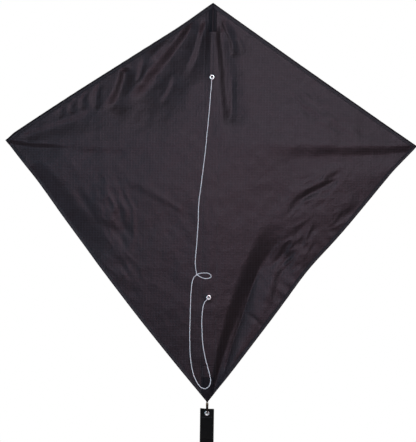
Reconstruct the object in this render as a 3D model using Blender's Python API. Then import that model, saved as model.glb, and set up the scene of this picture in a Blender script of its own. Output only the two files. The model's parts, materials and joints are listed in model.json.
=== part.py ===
"""A small diamond kite with a two-point bridle and a ribbon tail, as separate pieces.

Frame: metres, +Z from the tail to the nose, +X to the flyer's right, -Y towards the flyer.
The spars are behind the sail (+Y) and the bridle is in front of it (-Y).
The origin is the middle of the centre fitting's flat back, where the spine and the spreader
cross. The numbers below count y from the middle of the sail's thickness, which is at SAIL_Y.
"""

import math

import bmesh
import bpy
from mathutils import Matrix, Vector

# The diamond
HALF_SPAN = 0.370
NOSE_Z = 0.252
TAIL_Z = -0.4655
LEFT_EDGE_BOW = -0.006  # how far each lower edge curves into the sail, so this one bulges
RIGHT_EDGE_BOW = 0.009
EDGE_STEPS = 8

# Cloth and tape
SHEET = 0.0004
GAP = 0.0003
STRIP_HALF = 0.0145  # the sail's centre strip, which stays with the spine
BINDING_WIDTH = 0.007
SLEEVE_HALF = 0.014

# Spars
SPINE_RADIUS = 0.002
SPINE_Y = 0.0059
SPREADER_RADIUS = 0.0015
SPREADER_Y = 0.0108
SPREADER_TIP = (0.356, 0.0044)  # x and y of the rod's outer end
WING_HINGE_X = 0.015
CAP_WALL = 0.0006
CAP_LENGTH = 0.014
FITTING_HALF = 0.0135
FITTING_WALL = 0.0013
SAIL_Y = -(SPREADER_Y + SPREADER_RADIUS + GAP + FITTING_WALL)

# Eyelets
EYELET_HOLE = 0.0020
EYELET_RADIUS = 0.0045
UPPER_EYELET_Z = 0.1185
LOWER_EYELET_Z = -0.277

# Bridle cord, which lies this far in front of the sail
CORD_RADIUS = 0.00075
CORD_Y = -0.0031
KNOT = (-0.0215, -0.2360)
KNOT_RADIUS = 0.0021
TURN = (-0.0043, -0.4405)  # the lowest point of the slack lower leg

# Tail
TIE_Z = -0.467
TIE_RADIUS = 0.0007
TAIL_EYELET_Z = -0.485
RIBBON_TOP_Z = -0.477
RIBBON_HALF = 0.0125
RIBBON_LINK = 0.110
RIBBON_LINKS = 4

CIRCLE = 16
FROM_SAIL = Vector((0, SAIL_Y, 0))

BLACK_CLOTH = ("ripstop", (0.020, 0.017, 0.024), 0.5, 0.0)
BLACK_TAPE = ("binding_tape", (0.012, 0.011, 0.013), 0.55, 0.0)
TAIL_CLOTH = ("tail_ribbon", (0.011, 0.010, 0.010), 0.45, 0.0)
WHITE_CORD = ("bridle_cord", (0.78, 0.75, 0.82), 0.7, 0.0)
DARK_CORD = ("tie_cord", (0.030, 0.022, 0.018), 0.75, 0.0)
FIBREGLASS = ("fibreglass", (0.025, 0.025, 0.027), 0.3, 0.0)
VINYL = ("vinyl", (0.018, 0.018, 0.018), 0.45, 0.0)
NICKEL = ("nickel", (0.66, 0.63, 0.66), 0.28, 1.0)


# Scene and objects


def clear_scene():
    for old in list(bpy.data.objects):
        bpy.data.objects.remove(old)


def material(finish):
    name, colour, roughness, metallic = finish
    made = bpy.data.materials.get(name)
    if made:
        return made
    made = bpy.data.materials.new(name)
    made.use_nodes = True
    shader = made.node_tree.nodes["Principled BSDF"]
    shader.inputs["Base Color"].default_value = (*colour, 1.0)
    shader.inputs["Roughness"].default_value = roughness
    shader.inputs["Metallic"].default_value = metallic
    made.diffuse_color = (*colour, 1.0)
    return made


def body(name, joint=(0, 0, 0)):
    """An empty on a body's joint, which the body's pieces are parented to."""
    empty = bpy.data.objects.new(f"{name}_joint", None)
    empty.location = Vector(joint) + FROM_SAIL
    bpy.context.collection.objects.link(empty)
    return empty


def piece(name, mesh, finish, parent, smooth=False):
    """An object from a mesh drawn round the sail, with its origin on its body's joint."""
    mesh.name = name
    mesh.transform(Matrix.Translation(FROM_SAIL - parent.location))
    mesh.materials.append(material(finish))
    if smooth:
        mesh.shade_smooth()
        mesh.set_sharp_from_angle(angle=math.radians(40))
    made = bpy.data.objects.new(name, mesh)
    made.parent = parent
    bpy.context.collection.objects.link(made)
    return made


def boolean(target, mesh, operation):
    """Cuts or joins a helper mesh, drawn round the sail."""
    mesh.transform(Matrix.Translation(FROM_SAIL))
    helper = bpy.data.objects.new(f"{target.name}_helper", mesh)
    bpy.context.collection.objects.link(helper)
    helper.hide_render = True
    helper.display_type = "WIRE"
    step = target.modifiers.new(operation.lower(), "BOOLEAN")
    step.operation = operation
    step.object = helper


# Solids


def solid(bm):
    bmesh.ops.recalc_face_normals(bm, faces=bm.faces)
    mesh = bpy.data.meshes.new("solid")
    bm.to_mesh(mesh)
    bm.free()
    return mesh


def lofted(rings, closed=False):
    """A solid through rings of equally many points: flat ends, or the last ring back to the first."""
    bm = bmesh.new()
    loops = [[bm.verts.new(point) for point in ring] for ring in rings]
    following = loops[1:] + loops[:1] if closed else loops[1:]
    for near, far in zip(loops, following):
        for i in range(len(near)):
            j = (i + 1) % len(near)
            bm.faces.new((near[i], near[j], far[j], far[i]))
    if not closed:
        bm.faces.new(loops[0])
        bm.faces.new(loops[-1])
    return solid(bm)


def sheet(outline, y, thickness=SHEET):
    """A flat sheet from an (x, z) outline, centred on y."""
    near = [(x, y - thickness / 2, z) for x, z in outline]
    far = [(x, y + thickness / 2, z) for x, z in outline]
    return lofted([near, far])


def box(low, high):
    (x0, y0, z0), (x1, y1, z1) = low, high
    near = [(x0, y0, z0), (x1, y0, z0), (x1, y0, z1), (x0, y0, z1)]
    return lofted([near, [(x, y1, z) for x, _, z in near]])


def ring(centre, direction, radius, sides=CIRCLE):
    """Points of a circle square to a direction."""
    turn = Vector(direction).to_track_quat("Z", "Y")
    angles = [2 * math.pi * i / sides for i in range(sides)]
    spokes = [Vector((math.cos(a) * radius, math.sin(a) * radius, 0)) for a in angles]
    return [Vector(centre) + turn @ spoke for spoke in spokes]


def rod(start, end, radius, sides=CIRCLE):
    along = Vector(end) - Vector(start)
    return lofted([ring(start, along, radius, sides), ring(end, along, radius, sides)])


def end_cap(tip, inward, rod_radius):
    """A moulded cap with a blind hole that a rod's end sits in. tip is its closed end."""
    tip, inward = Vector(tip), Vector(inward).normalized()
    bore = rod_radius + GAP
    outer = bore + CAP_WALL
    mouth = tip + inward * CAP_LENGTH
    floor = tip + inward * 0.002
    shoulder = tip + inward * 0.001
    circles = [(floor, bore), (mouth, bore), (mouth, outer), (shoulder, outer), (tip, outer * 0.7)]
    return lofted([ring(place, inward, radius, 12) for place, radius in circles])


def turned(profile, x, z):
    """A ring-shaped solid: a closed (radius, y) profile turned about a line along Y."""
    stations = [2 * math.pi * i / CIRCLE for i in range(CIRCLE)]
    rings = [
        [(x + radius * math.cos(a), y, z + radius * math.sin(a)) for radius, y in profile]
        for a in stations
    ]
    return lofted(rings, closed=True)


def smooth_path(points, steps, closed=False):
    """Points along a curve that passes through the given ones (Catmull-Rom)."""
    points = [Vector(p) for p in points]
    count = len(points)
    spans = count if closed else count - 1
    path = []
    for i in range(spans):
        if closed:
            a, b, c, d = (points[(i + k) % count] for k in (-1, 0, 1, 2))
        else:
            a, b, c, d = (points[min(max(i + k, 0), count - 1)] for k in (-1, 0, 1, 2))
        for k in range(steps):
            t = k / steps
            bend = (2 * a - 5 * b + 4 * c - d) * t * t + (3 * b - a - 3 * c + d) * t**3
            path.append((2 * b + (c - a) * t + bend) / 2)
    return path if closed else path + [points[-1]]


def cord(path, radius, normal, closed=False, sides=8):
    """A round cord along a path that never runs along normal."""
    normal = Vector(normal)
    last = len(path) - 1
    rings = []
    for i, centre in enumerate(path):
        after = path[(i + 1) % len(path)] if closed else path[min(i + 1, last)]
        before = path[i - 1] if closed or i else path[0]
        along = (after - before).normalized()
        side = along.cross(normal).normalized()
        up = side.cross(along)
        angles = [2 * math.pi * k / sides for k in range(sides)]
        rings.append([centre + radius * (math.cos(a) * side + math.sin(a) * up) for a in angles])
    return lofted(rings, closed)


def tunnel_profile(flange, inner, wall, base, crown):
    """The (across, y) section of a strip sewn flat at both sides and arched over a rod.

    It is flat at y = base out to flange, and its arch, whose inner radius is inner, has its
    centre at y = crown.
    """
    arc = [math.pi * i / 6 for i in range(7)]
    inside = [(-inner * math.cos(a), crown + inner * math.sin(a)) for a in arc]
    outside = [((inner + wall) * math.cos(a), crown + (inner + wall) * math.sin(a)) for a in arc]
    right = [(inner, base), (flange, base), (flange, base + wall), (inner + wall, base + wall)]
    left = [(-inner - wall, base + wall), (-flange, base + wall), (-flange, base), (-inner, base)]
    return inside + right + outside + left


def tunnel(profile, start, end, along_z, closed_end=False):
    """The profile drawn from start to end along Z or X. closed_end adds a wall across end."""

    def place(across, y, where):
        return (across, y, where) if along_z else (where, y, across)

    made = lofted([[place(a, y, where) for a, y in profile] for where in (start, end)])
    if not closed_end:
        return made, None
    half = max(a for a, y in profile if y > profile[0][1])
    top = max(y for _, y in profile)
    base = min(y for _, y in profile)
    wall = SHEET if end > start else -SHEET
    corners = [place(-half, base, end - wall), place(half, top, end)]
    low = [min(pair) for pair in zip(*corners)]
    high = [max(pair) for pair in zip(*corners)]
    return made, box(low, high)


# The outline of the sail


def lower_edge(side, share, inset=0.0):
    """A point on a lower edge, at a share of the way from the wing tip to the tail."""
    tip, tail = Vector((side * HALF_SPAN, 0)), Vector((0, TAIL_Z))
    along = (tail - tip).normalized()
    inward = Vector((-side * abs(along.y), abs(along.x)))
    bow = LEFT_EDGE_BOW if side < 0 else RIGHT_EDGE_BOW
    depth = inset + bow * math.sin(math.pi * share) ** 2
    return tip + (tail - tip) * share + inward * depth


def upper_z(x):
    return NOSE_Z * (1 - abs(x) / HALF_SPAN)


def lower_z(x):
    return TAIL_Z * (1 - abs(x) / HALF_SPAN)


UPPER_SLOPE = math.atan2(NOSE_Z, HALF_SPAN)
LOWER_SLOPE = math.atan2(-TAIL_Z, HALF_SPAN)


def wing_panel(side):
    """One wing of the sail, as an (x, z) outline set into the slots of its bindings."""
    inset = SHEET + 2 * GAP
    root = WING_HINGE_X + GAP
    drop = inset / math.cos(UPPER_SLOPE)
    rise = inset / math.cos(LOWER_SLOPE)
    top = (side * root, upper_z(root) - drop)
    tip = (side * (HALF_SPAN - inset / math.sin(UPPER_SLOPE)), 0)
    shares = [i / EDGE_STEPS for i in range(1, EDGE_STEPS)]
    edge = [tuple(lower_edge(side, share, inset)) for share in shares]
    bottom = (side * root, lower_z(root) + rise)
    return [top, tip, *edge, bottom]


def centre_strip():
    inset = SHEET + 2 * GAP
    drop = inset / math.cos(UPPER_SLOPE)
    rise = inset / math.cos(LOWER_SLOPE)
    top = [(x, upper_z(x) - drop) for x in (-STRIP_HALF, 0, STRIP_HALF)]
    return top + [(x, lower_z(x) + rise) for x in (STRIP_HALF, 0, -STRIP_HALF)]


# Pieces of the sail


def binding(name, stations, parent):
    """Tape folded over the sail's edge. Each station is an outer and an inner (x, z) point."""
    slot, outside = SHEET / 2 + GAP, 1.5 * SHEET + GAP
    fold = SHEET / BINDING_WIDTH
    section = [(0, -outside), (1, -outside), (1, -slot), (fold, -slot)]
    section += [(depth, -y) for depth, y in reversed(section)]
    rings = []
    for outer, inner in stations:
        outer, inner = Vector(outer), Vector(inner)
        points = [(outer.lerp(inner, depth), y) for depth, y in section]
        rings.append([(p.x, y, p.y) for p, y in points])
    return piece(name, lofted(rings), BLACK_TAPE, parent)


def wing_bindings(word, side, wing):
    drop = BINDING_WIDTH / math.cos(UPPER_SLOPE)
    rise = BINDING_WIDTH / math.cos(LOWER_SLOPE)
    root = WING_HINGE_X + GAP
    reach = HALF_SPAN - GAP
    upper = [
        ((side * root, upper_z(root)), (side * root, upper_z(root) - drop)),
        ((side * reach, GAP), (side * (reach - BINDING_WIDTH / math.sin(UPPER_SLOPE)), GAP)),
    ]
    binding(f"{word}_upper_binding", upper, wing)
    lower = [((side * reach, -GAP), (side * (reach - BINDING_WIDTH / math.sin(LOWER_SLOPE)), -GAP))]
    for i in range(1, EDGE_STEPS):
        share = i / EDGE_STEPS
        lower.append((lower_edge(side, share), lower_edge(side, share, BINDING_WIDTH)))
    lower.append(((side * root, lower_z(root)), (side * root, lower_z(root) + rise)))
    binding(f"{word}_lower_binding", lower, wing)


def end_bindings(keel):
    """The bindings' short lengths round the nose and the tail corner."""
    places = (-STRIP_HALF, 0, STRIP_HALF)
    drop = BINDING_WIDTH / math.cos(UPPER_SLOPE)
    rise = BINDING_WIDTH / math.cos(LOWER_SLOPE)
    nose = [((x, upper_z(x)), (x, upper_z(x) - drop)) for x in places]
    tail = [((x, lower_z(x)), (x, lower_z(x) + rise)) for x in places]
    binding("nose_binding", nose, keel)
    binding("tail_binding", tail, keel)


def sail_centre(keel):
    strip = piece("sail_centre", sheet(centre_strip(), 0), BLACK_CLOTH, keel)
    for z in (UPPER_EYELET_Z, LOWER_EYELET_Z):
        hole = EYELET_HOLE + SHEET + GAP
        boolean(strip, rod((0, -0.002, z), (0, 0.002, z), hole), "DIFFERENCE")


def spine_sleeve(keel):
    """The strip sewn over the spine, open where the bridle and the fitting reach the rod."""
    base = SHEET / 2 + GAP
    profile = tunnel_profile(SLEEVE_HALF, SPINE_RADIUS + GAP, SHEET, base, SPINE_Y)
    mesh, _ = tunnel(profile, TAIL_Z + 0.070, NOSE_Z - 0.056, along_z=True)
    sleeve = piece("spine_sleeve", mesh, BLACK_CLOTH, keel)
    half = EYELET_RADIUS + 0.0012
    for z, reach in ((UPPER_EYELET_Z, 0.007), (0.0, 0.017), (LOWER_EYELET_Z, 0.007)):
        window = box((-half, -0.001, z - reach), (half, SPREADER_Y, z + reach))
        boolean(sleeve, window, "DIFFERENCE")


def pocket(name, start, end, along_z, across, rod_y, parent, rod_radius):
    """A pouch sewn behind the sail that holds a capped rod end."""
    base = 1.5 * SHEET + 2 * GAP
    inner = rod_radius + CAP_WALL + 3 * GAP
    profile = tunnel_profile(across, inner, SHEET, base, rod_y)
    mesh, wall = tunnel(profile, start, end, along_z, closed_end=True)
    pouch = piece(name, mesh, BLACK_TAPE, parent)
    boolean(pouch, wall, "UNION")


def patches(keel):
    """The doubled cloth sewn to the front of the nose and of the tail corner."""
    layer = -(1.5 * SHEET + 2 * GAP + SHEET / 2)
    half = 0.007
    nose = [(-half, 0.200), (half, 0.200), (half, 0.242), (-half, 0.242)]
    piece("nose_patch", sheet(nose, layer), BLACK_TAPE, keel)
    wide, narrow = 0.0115, 0.0060
    top, knee, foot = TAIL_Z + 0.066, TAIL_Z + 0.017, TAIL_Z + 0.010
    right = [(wide, top), (wide, knee), (narrow, foot)]
    tail = right + [(-x, z) for x, z in reversed(right)]
    piece("tail_patch", sheet(tail, layer), BLACK_TAPE, keel)


# Hardware


def eyelet(name, z, parent):
    """A two-part eyelet: the flanged barrel from the front, and the washer it is rolled over."""
    face = SHEET / 2 + GAP
    hole, barrel, rim = EYELET_HOLE, EYELET_HOLE + SHEET, EYELET_RADIUS
    back = face + 0.0005 + GAP
    profile = [
        (hole, -face - 0.0007),
        (rim - 0.0005, -face - 0.0007),
        (rim, -face - 0.0003),
        (rim, -face),
        (barrel, -face),
        (barrel, back),
        (barrel + 0.0008, back),
        (barrel + 0.0008, back + 0.0003),
        (hole, back + 0.0003),
    ]
    piece(name, turned(profile, 0, z), NICKEL, parent, smooth=True)
    inner = barrel + GAP
    washer = [(inner, face), (rim, face), (rim - 0.0003, face + 0.0005), (inner, face + 0.0005)]
    piece(f"{name}_washer", turned(washer, 0, z), NICKEL, parent, smooth=True)


def spine(keel):
    low, high = TAIL_Z + 0.014, NOSE_Z - 0.014
    piece("spine_rod", rod((0, SPINE_Y, low), (0, SPINE_Y, high), SPINE_RADIUS), FIBREGLASS, keel, True)
    slack = 0.002 + GAP
    nose = end_cap((0, SPINE_Y, high + slack), (0, 0, -1), SPINE_RADIUS)
    tail = end_cap((0, SPINE_Y, low - slack), (0, 0, 1), SPINE_RADIUS)
    piece("nose_cap", nose, VINYL, keel, True)
    piece("tail_cap", tail, VINYL, keel, True)
    pocket("nose_pocket", NOSE_Z - 0.053, NOSE_Z - 0.010, True, 0.0070, SPINE_Y, keel, SPINE_RADIUS)
    pocket("tail_pocket", TAIL_Z + 0.066, TAIL_Z + 0.010, True, 0.0070, SPINE_Y, keel, SPINE_RADIUS)


def centre_fitting(keel):
    """The moulded cross that holds the spreader square behind the spine, with a flat back."""
    outer = SPINE_RADIUS + GAP + FITTING_WALL
    upright = rod((0, SPINE_Y, -FITTING_HALF), (0, SPINE_Y, FITTING_HALF), outer)
    cross = piece("centre_fitting", upright, VINYL, keel, True)
    half = SPREADER_RADIUS + GAP + FITTING_WALL
    front = SPREADER_Y - SPREADER_RADIUS - GAP - FITTING_WALL / 2
    bar = box((-FITTING_HALF, front, -half), (FITTING_HALF, -SAIL_Y, half))
    boolean(cross, bar, "UNION")
    bore = SPINE_RADIUS + GAP
    reach = 2 * FITTING_HALF
    boolean(cross, rod((0, SPINE_Y, -reach), (0, SPINE_Y, reach), bore), "DIFFERENCE")
    bore = SPREADER_RADIUS + GAP
    boolean(cross, rod((-reach, SPREADER_Y, 0), (reach, SPREADER_Y, 0), bore), "DIFFERENCE")
    middle = WING_HINGE_X - GAP
    stub = rod((-middle, SPREADER_Y, 0), (middle, SPREADER_Y, 0), SPREADER_RADIUS, 12)
    piece("spreader_middle", stub, FIBREGLASS, keel, True)


def hitch(name, z, keel):
    """The bridle's end: once round the spine, and out through the eyelet to the front."""
    around = SPINE_RADIUS + GAP + CORD_RADIUS
    angles = [2 * math.pi * i / CIRCLE for i in range(CIRCLE)]
    circle = [Vector((around * math.sin(a), SPINE_Y + around * math.cos(a), z)) for a in angles]
    wrap = piece(name, cord(circle, CORD_RADIUS, (0, 0, 1), closed=True), WHITE_CORD, keel, True)
    front = (0, CORD_Y + CORD_RADIUS + GAP, z)
    boolean(wrap, rod(front, (0, SPINE_Y - around, z), CORD_RADIUS, 10), "UNION")


# Wings


def wing(word, side):
    """Everything that turns with one half of the spreader."""
    joint = body(f"{word}_wing", (side * WING_HINGE_X, SPREADER_Y, 0))
    piece(f"sail_{word}", sheet(wing_panel(side), 0), BLACK_CLOTH, joint)
    wing_bindings(word, side, joint)
    tip_x, tip_y = SPREADER_TIP
    root = Vector((side * (WING_HINGE_X + GAP), SPREADER_Y, 0))
    tip = Vector((side * tip_x, tip_y, 0))
    piece(f"{word}_spreader", rod(root, tip, SPREADER_RADIUS, 12), FIBREGLASS, joint, True)
    inward = (root - tip).normalized()
    closed_end = tip - inward * (0.002 + GAP)
    piece(f"{word}_tip_cap", end_cap(closed_end, inward, SPREADER_RADIUS), VINYL, joint, True)
    start, end = side * 0.322, side * 0.3595
    pocket(f"{word}_tip_pocket", start, end, False, 0.0060, tip_y + GAP, joint, SPREADER_RADIUS + GAP)


# Bridle


def in_front(points):
    return [(x, CORD_Y, z) for x, z in points]


def upper_leg():
    leg = body("bridle_upper", (0, CORD_Y, UPPER_EYELET_Z))
    points = in_front(
        [
            (0.0, UPPER_EYELET_Z + 0.0005),
            (-0.0008, 0.1097),
            (-0.0043, 0.056),
            (-0.0086, 0.002),
            (-0.0139, -0.052),
            (-0.0199, -0.106),
            (-0.0218, -0.160),
            (-0.0250, -0.214),
            (KNOT[0] - 0.0012, KNOT[1] + KNOT_RADIUS + 2 * GAP),
        ]
    )
    path = smooth_path(points, 4)
    piece("bridle_upper_leg", cord(path, CORD_RADIUS, (0, 1, 0)), WHITE_CORD, leg, True)


def tow_loop():
    """The knot, and the loop that the flying line is tied to."""
    joint = body("tow_loop", (KNOT[0], CORD_Y, KNOT[1]))
    x, z = KNOT
    points = in_front(
        [(x, z + 0.0006), (-0.0146, -0.2336), (-0.0002, -0.2339), (0.0038, -0.2381)]
        + [(0.0017, -0.2417), (-0.0073, -0.2431), (x + 0.0006, z - 0.0010)]
    )
    path = smooth_path(points, 5)
    loop = piece("tow_loop", cord(path, CORD_RADIUS, (0, 1, 0)), WHITE_CORD, joint, True)
    bm = bmesh.new()
    bmesh.ops.create_icosphere(bm, subdivisions=2, radius=KNOT_RADIUS)
    bmesh.ops.scale(bm, vec=(1.25, 0.9, 1.0), verts=bm.verts)
    bmesh.ops.translate(bm, vec=(x, CORD_Y, z), verts=bm.verts)
    boolean(loop, solid(bm), "UNION")


def lower_leg():
    """The slack lower leg in two lengths, parted at its lowest point."""
    x, z = TURN
    parting = 0.0010
    near = body("bridle_lower", (0, CORD_Y, LOWER_EYELET_Z))
    points = in_front(
        [
            (0.0, LOWER_EYELET_Z + 0.0005),
            (-0.0070, -0.2853),
            (-0.0107, -0.2997),
            (-0.0117, -0.321),
            (-0.0099, -0.357),
            (-0.0044, -0.3858),
            (0.0034, -0.4144),
            (0.0055, -0.427),
            (0.0028, -0.4362),
            (x + parting, z),
        ]
    )
    path = smooth_path(points, 3)
    piece("bridle_lower_leg", cord(path, CORD_RADIUS, (0, 1, 0)), WHITE_CORD, near, True)
    far = body("bridle_return", (x, CORD_Y, z))
    points = in_front(
        [
            (x - parting, z),
            (-0.0125, -0.4375),
            (-0.0198, -0.428),
            (-0.0267, -0.411),
            (-0.0314, -0.3826),
            (-0.0331, -0.340),
            (-0.0322, -0.282),
            (-0.0303, -0.252),
            (-0.0268, -0.2408),
        ]
    )
    path = smooth_path(points, 3)
    piece("bridle_return_leg", cord(path, CORD_RADIUS, (0, 1, 0)), WHITE_CORD, far, True)


# Tail


def tail_tie():
    """A loop of cord from the tail corner through the tail's eyelet."""
    joint = body("tail_tie", (0, 0, TIE_Z))
    z = TAIL_EYELET_Z
    strand = [(0.0009, -0.0002, TIE_Z), (0.0008, -0.0016, z + 0.015), (0.0004, -0.0027, z + 0.008)]
    strand += [(0.0001, -0.0024, z + 0.0015)]
    middle = [(0, 0, z - 0.0002)]
    back = [(-px, -py + 0.0002, pz) for px, py, pz in reversed(strand)]
    path = smooth_path(strand + middle + back, 4)
    piece("tail_tie", cord(path, TIE_RADIUS, (1, 0, 0)), DARK_CORD, joint, True)


def tail_ribbon():
    """The ribbon in short lengths, hinged edge to edge."""
    top = RIBBON_TOP_Z
    for number in range(1, RIBBON_LINKS + 1):
        pivot = TAIL_EYELET_Z if number == 1 else top
        joint = body(f"tail_{number}", (0, 0, pivot))
        low = RIBBON_TOP_Z - number * RIBBON_LINK
        start = top if number == 1 else top - GAP
        outline = [(-RIBBON_HALF, low + GAP), (RIBBON_HALF, low + GAP)]
        outline += [(RIBBON_HALF, start), (-RIBBON_HALF, start)]
        link = piece(f"tail_ribbon_{number}", sheet(outline, 0), TAIL_CLOTH, joint)
        if number == 1:
            hole = EYELET_HOLE + SHEET + GAP
            ends = (0, -0.002, TAIL_EYELET_Z), (0, 0.002, TAIL_EYELET_Z)
            boolean(link, rod(*ends, hole), "DIFFERENCE")
            eyelet("tail_eyelet", TAIL_EYELET_Z, joint)
        top = low


def main():
    clear_scene()
    keel = body("keel")
    sail_centre(keel)
    end_bindings(keel)
    spine_sleeve(keel)
    patches(keel)
    spine(keel)
    centre_fitting(keel)
    for word, z in (("upper", UPPER_EYELET_Z), ("lower", LOWER_EYELET_Z)):
        eyelet(f"{word}_eyelet", z, keel)
        hitch(f"{word}_bridle_hitch", z, keel)
    wing("left", -1)
    wing("right", 1)
    upper_leg()
    tow_loop()
    lower_leg()
    tail_tie()
    tail_ribbon()


main()
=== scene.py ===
"""The looks of a small diamond kite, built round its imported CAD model.

Metres, unless a name or a comment says millimetres. +Z runs from the tail to the nose, +X to
the flyer's right and -Y towards the flyer, so the sail's front faces -Y and its spars are behind.
"""

import json
import math

import bpy
import numpy as np
from mathutils import Matrix, Vector, noise

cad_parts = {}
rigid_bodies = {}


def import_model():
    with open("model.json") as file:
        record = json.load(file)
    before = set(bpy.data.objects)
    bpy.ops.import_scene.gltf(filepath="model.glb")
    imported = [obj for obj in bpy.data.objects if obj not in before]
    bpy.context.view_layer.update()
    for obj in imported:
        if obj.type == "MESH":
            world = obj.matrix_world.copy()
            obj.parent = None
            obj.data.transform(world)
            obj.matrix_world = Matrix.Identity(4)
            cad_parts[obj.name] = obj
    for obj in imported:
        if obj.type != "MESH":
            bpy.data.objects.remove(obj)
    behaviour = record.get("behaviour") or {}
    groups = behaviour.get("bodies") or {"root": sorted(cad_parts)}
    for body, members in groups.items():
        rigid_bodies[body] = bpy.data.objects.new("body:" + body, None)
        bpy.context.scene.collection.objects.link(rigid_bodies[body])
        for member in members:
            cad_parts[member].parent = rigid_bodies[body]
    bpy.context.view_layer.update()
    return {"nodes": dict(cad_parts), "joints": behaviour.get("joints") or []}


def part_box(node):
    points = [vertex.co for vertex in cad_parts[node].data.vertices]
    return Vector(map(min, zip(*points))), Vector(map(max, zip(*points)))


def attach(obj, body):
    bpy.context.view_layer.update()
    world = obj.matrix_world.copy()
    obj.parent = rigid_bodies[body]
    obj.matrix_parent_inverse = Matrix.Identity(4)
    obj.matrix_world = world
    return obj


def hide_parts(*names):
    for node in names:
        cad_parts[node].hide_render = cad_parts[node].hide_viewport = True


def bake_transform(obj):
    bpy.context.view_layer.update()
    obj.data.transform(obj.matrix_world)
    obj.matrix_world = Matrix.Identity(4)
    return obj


for startup_object in list(bpy.data.objects):
    bpy.data.objects.remove(startup_object)

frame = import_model()

JOINTS = {joint["name"]: Vector(joint["pos_m"]) for joint in frame["joints"]}
MM = 0.001


def middle(node):
    low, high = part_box(node)
    return (low + high) / 2


def settle(made, body, slot_name, *nodes):
    """Ties a piece to its body and hides the CAD nodes that it stands for. The slot_name it is given is not
    used.
    """
    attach(made, body)
    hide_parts(*nodes)


# The diamond
SAIL_Y = middle("sail_centre").y
HALF_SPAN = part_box("right_upper_binding")[1].x
NOSE_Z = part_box("nose_binding")[1].z
TAIL_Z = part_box("tail_binding")[0].z
CLOTH = 0.25 * MM

# Spars
SPINE_Y = middle("spine_rod").y
SPINE_RADIUS = (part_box("spine_rod")[1].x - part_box("spine_rod")[0].x) / 2
SPREADER_Y = middle("spreader_middle").y
SPREADER_RADIUS = (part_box("spreader_middle")[1].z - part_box("spreader_middle")[0].z) / 2

# Cord
CORD_RADIUS = 0.75 * MM
CORD_STEP = 0.45 * MM
RING_POINTS = 8  # round each cord in the CAD
HOLE_CLEAR = 2.45 * MM  # from an eyelet's centre to the cloth cut away for its barrel
HOLE_DROP = 1.2 * MM  # how far below an eyelet's centre the cord hangs in its hole


# Numbers


def smooth(value, low, high):
    """0 at low and 1 at high, with a soft start and end. low may be the larger one."""
    share = np.clip((value - low) / (high - low), 0, 1)
    return share * share * (3 - 2 * share)


def curve(points, spacing, closed=False):
    """Evenly spaced points on a smooth line through the given ones (Catmull-Rom)."""
    points = np.array(points, float)
    if closed:
        points = np.vstack((points[-1:], points, points[:2]))
    else:
        points = np.vstack((2 * points[0] - points[1], points, 2 * points[-1] - points[-2]))
    t = np.linspace(0, 1, 24, endpoint=False)[:, None]
    line = []
    for a, b, c, d in zip(points, points[1:], points[2:], points[3:]):
        bend = (2 * a - 5 * b + 4 * c - d) * t * t + (3 * b - a - 3 * c + d) * t**3
        line.append((2 * b + (c - a) * t + bend) / 2)
    line = np.vstack(line + [points[-2:-1]])
    length = np.concatenate(([0], np.cumsum(np.linalg.norm(np.diff(line, axis=0), axis=1))))
    count = max(2, round(length[-1] / spacing) + 1)
    even = np.linspace(0, length[-1], count)
    return np.stack([np.interp(even, length, axis) for axis in line.T], axis=1)


def fractal(x, z, size, seed, octaves=3):
    """Smooth noise of about -1 to 1 whose largest lumps are size across."""
    places = np.stack((np.ravel(x) / size, np.full(np.size(x), seed * 7.31), np.ravel(z) / size), 1)
    values = [noise.fractal(Vector(p), 1.0, 2.0, octaves) for p in places]
    return np.reshape(values, np.shape(x))


# Meshes


class Shape:
    """Points and faces gathered into one mesh. Each face has the number of its material."""

    def __init__(self):
        self.points = []
        self.faces = []
        self.finishes = []
        self.count = 0

    def grid(self, points, around=False, along=False, finish=0, keep=None):
        """A net of points (rows, columns, 3). around joins the last column to the first one,
        and along the last row to the first. keep says which cells get a face."""
        rows, columns = points.shape[:2]
        index = np.arange(rows * columns).reshape(rows, columns)
        if around:
            index = np.hstack((index, index[:, :1]))
        if along:
            index = np.vstack((index, index[:1]))
        corners = (index[:-1, :-1], index[:-1, 1:], index[1:, 1:], index[1:, :-1])
        faces = np.stack(corners, -1)
        faces = faces[keep] if keep is not None else faces.reshape(-1, 4)
        self.add(points.reshape(-1, 3), faces.tolist(), finish)

    def add(self, points, faces, finish=0):
        self.points.append(np.asarray(points, float))
        self.faces += [[self.count + i for i in face] for face in faces]
        self.finishes += [finish] * len(faces)
        self.count += len(points)

    def tube(self, rings, finish=0):
        """Rings of points joined into a solid with closed ends."""
        rows, columns = rings.shape[:2]
        start = list(range(columns))
        end = [(rows - 1) * columns + i for i in start]
        self.grid(rings, around=True, finish=finish)
        first = self.count - rows * columns
        self.faces += [[first + i for i in reversed(start)], [first + i for i in end]]
        self.finishes += [finish] * 2

    def piece(self, name, materials, thickness=0.0, offset=0.0):
        """The finished object, with the cloth's own coordinates in metres as its UV map."""
        mesh = bpy.data.meshes.new(name)
        points = np.vstack(self.points)
        mesh.from_pydata(points.tolist(), [], self.faces)
        for finish in materials:
            mesh.materials.append(finish)
        mesh.polygons.foreach_set("material_index", self.finishes)
        corner = np.empty(len(mesh.loops), int)
        mesh.loops.foreach_get("vertex_index", corner)
        mesh.uv_layers.new(name="Cloth").data.foreach_set("uv", points[corner][:, (0, 2)].ravel())
        mesh.shade_smooth()
        made = bpy.data.objects.new(name, mesh)
        bpy.context.scene.collection.objects.link(made)
        if thickness:
            step = made.modifiers.new("thickness", "SOLIDIFY")
            step.thickness = thickness
            step.offset = offset
        return made


def ring_frames(path):
    """Two directions across a path at each of its points, carried along without twist."""
    along = np.gradient(path, axis=0)
    along /= np.linalg.norm(along, axis=1)[:, None]
    across = np.cross(along[0], (0, 1, 0) if abs(along[0][1]) < 0.9 else (1, 0, 0))
    sides = []
    for direction in along:
        across = across - direction * (across @ direction)
        across = across / np.linalg.norm(across)
        sides.append(across)
    sides = np.array(sides)
    return sides, np.cross(along, sides)


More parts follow.
